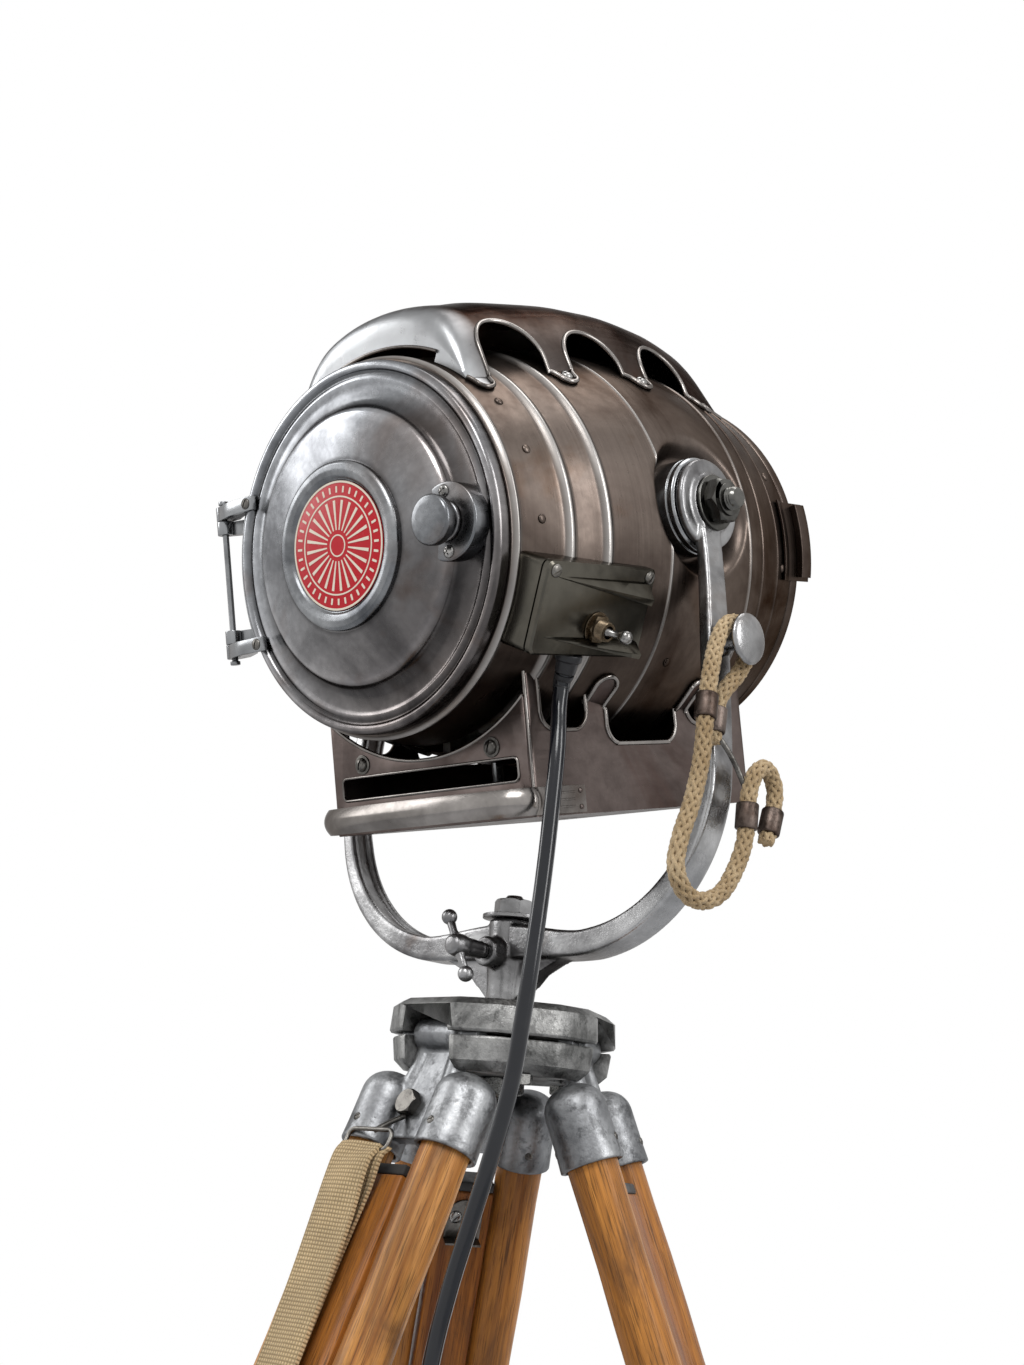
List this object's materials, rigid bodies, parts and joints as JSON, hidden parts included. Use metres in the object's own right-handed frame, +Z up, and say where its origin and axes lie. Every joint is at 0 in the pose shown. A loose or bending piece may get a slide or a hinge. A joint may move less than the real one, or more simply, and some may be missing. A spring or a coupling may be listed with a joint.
{
  "type": "stage fresnel spotlight on a wooden tripod",
  "caption": "Barrel-shaped steel spotlight with a domed rear door, lens and top vent cover, tilting in a U yoke on a folding wooden tripod, with its mains cord.",
  "frame": {"origin": "on the floor, under the centre of the box round everything but the cord, coil and plug", "axes": "+Z up, +Y the way the lens faces, +X the side with the switch box"},
  "size_m": [0.7963, 0.7211, 1.4865],
  "materials": {
    "black_rubber": "glossy black rubber",
    "brass": "dull plated brass",
    "bright_steel": "bright brushed sheet steel",
    "cast_zinc": "cast light alloy, satin",
    "ceramic": "off-white ceramic",
    "dark_steel": "burnished bare steel, dark grey with a soft shine",
    "enamel": "red enamel",
    "forged_steel": "bare forged bar, polished",
    "glass": "clear cast glass",
    "jute": "natural laid jute",
    "mirror": "polished reflector",
    "webbing": "woven khaki strap",
    "wood": "oiled orange-brown hardwood"
  },
  "bodies": {
    "stand": {"cord": "black_rubber", "cord_coil": "black_rubber", "pan_bolt": "cast_zinc", "plug": "black_rubber", "spigot_post": "forged_steel", "tripod_lower_plate": "cast_zinc", "tripod_top_plate": "cast_zinc"},
    "yoke": {"yoke_fork": "forged_steel", "rope_stud": "bright_steel", "tie_rope": "jute"},
    "clamp": {"clamp_handle": "bright_steel"},
    "door": {"rear_door": "bright_steel", "badge_bezel": "bright_steel", "badge_plate": "enamel", "latch_escutcheon": "bright_steel", "door_hinge_leaf": "bright_steel"},
    "latch": {"latch_knob": "bright_steel"},
    "toggle": {"toggle_lever": "brass"},
    "focus_carriage": {"lamp_carriage": "bright_steel", "lamp_socket": "ceramic", "lamp_bulb": "glass", "reflector": "mirror"},
    "leg_1": {"leg_bracket_1": "cast_zinc", "leg_collar_1": "cast_zinc", "leg_pole_far_1": "wood", "leg_pole_near_1": "wood"},
    "inner_leg_1": {"inner_leg_1": "wood", "leg_foot_1": "black_rubber"},
    "leg_2": {"leg_bracket_2": "cast_zinc", "leg_collar_2": "cast_zinc", "leg_pole_far_2": "wood", "leg_pole_near_2": "wood"},
    "inner_leg_2": {"inner_leg_2": "wood", "leg_foot_2": "black_rubber"},
    "leg_3": {"leg_bracket_3": "cast_zinc", "leg_collar_3": "cast_zinc", "leg_pole_far_3": "wood", "leg_pole_near_3": "wood", "leg_strap": "webbing"},
    "inner_leg_3": {"inner_leg_3": "wood", "leg_foot_3": "black_rubber"},
    "lamp_head": {"base_end_plate": "dark_steel", "base_housing": "dark_steel", "body_hinge_bracket": "dark_steel", "bow_handle": "bright_steel", "cord_gland": "black_rubber", "drum_shell": "dark_steel", "ear_left": "dark_steel", "ear_right": "dark_steel", "focus_rails": "dark_steel", "fresnel_lens": "glass", "front_ring": "dark_steel", "lens_retainer": "bright_steel", "switch_box": "dark_steel", "switch_bushing": "brass", "top_vent_cover": "dark_steel", "trunnion_bolt_left": "cast_zinc", "trunnion_bolt_right": "cast_zinc", "trunnion_boss_left": "cast_zinc", "trunnion_boss_right": "cast_zinc"}
  },
  "joints": [
    {"name": "yoke_pan", "type": "hinge", "parent": "stand", "child": "yoke", "pos_m": [-0.01539, 0.0967, 1.055], "axis": [0, 0, 1], "range_deg": [-170, 170], "deforming": ["cord"]},
    {"name": "head_tilt", "type": "hinge", "parent": "yoke", "child": "lamp_head", "pos_m": [-0.01539, 0.0967, 1.33], "axis": [1, 0, 0], "range_deg": [-80, 20], "deforming": ["cord"]},
    {"name": "clamp_turn", "type": "hinge", "parent": "yoke", "child": "clamp", "pos_m": [-0.01539, 0.0497, 1.058], "axis": [0, -1, 0], "range_deg": [-120, 120]},
    {"name": "door_swing", "type": "hinge", "parent": "lamp_head", "child": "door", "pos_m": [-0.14539, -0.05434, 1.27866], "axis": [0, 0.2436, -0.9699], "range_deg": [0, 115]},
    {"name": "latch_turn", "type": "hinge", "parent": "door", "child": "latch", "pos_m": [0.06561, -0.06501, 1.27598], "axis": [0, 0.9699, 0.2436], "range_deg": [0, 180]},
    {"name": "switch_toggle", "type": "hinge", "parent": "lamp_head", "child": "toggle", "pos_m": [0.1089, 0.02097, 1.22923], "axis": [0.4067, -0.2226, 0.886], "range_deg": [-34, 0]},
    {"name": "focus_slide", "type": "slide", "parent": "lamp_head", "child": "focus_carriage", "axis": [0, 0.9699, 0.2436], "range_m": [0, 0.06]},
    {"name": "leg_splay_1", "type": "hinge", "parent": "stand", "child": "leg_1", "pos_m": [0.02775, 0.11774, 1.0047], "axis": [-0.4384, 0.8988, 0], "range_deg": [0, 20]},
    {"name": "leg_extension_1", "type": "slide", "parent": "leg_1", "child": "inner_leg_1", "axis": [0.3367, 0.1642, -0.9272], "range_m": [0, 0.6]},
    {"name": "leg_splay_2", "type": "hinge", "parent": "stand", "child": "leg_2", "pos_m": [-0.05518, 0.12354, 1.0047], "axis": [-0.5592, -0.829, 0], "range_deg": [0, 20]},
    {"name": "leg_extension_2", "type": "slide", "parent": "leg_2", "child": "inner_leg_2", "axis": [-0.3106, 0.2095, -0.9272], "range_m": [0, 0.6]},
    {"name": "leg_splay_3", "type": "hinge", "parent": "stand", "child": "leg_3", "pos_m": [-0.01874, 0.04882, 1.0047], "axis": [0.9976, -0.0698, 0], "range_deg": [0, 20]},
    {"name": "leg_extension_3", "type": "slide", "parent": "leg_3", "child": "inner_leg_3", "axis": [-0.0261, -0.3737, -0.9272], "range_m": [0, 0.6]}
  ]
}
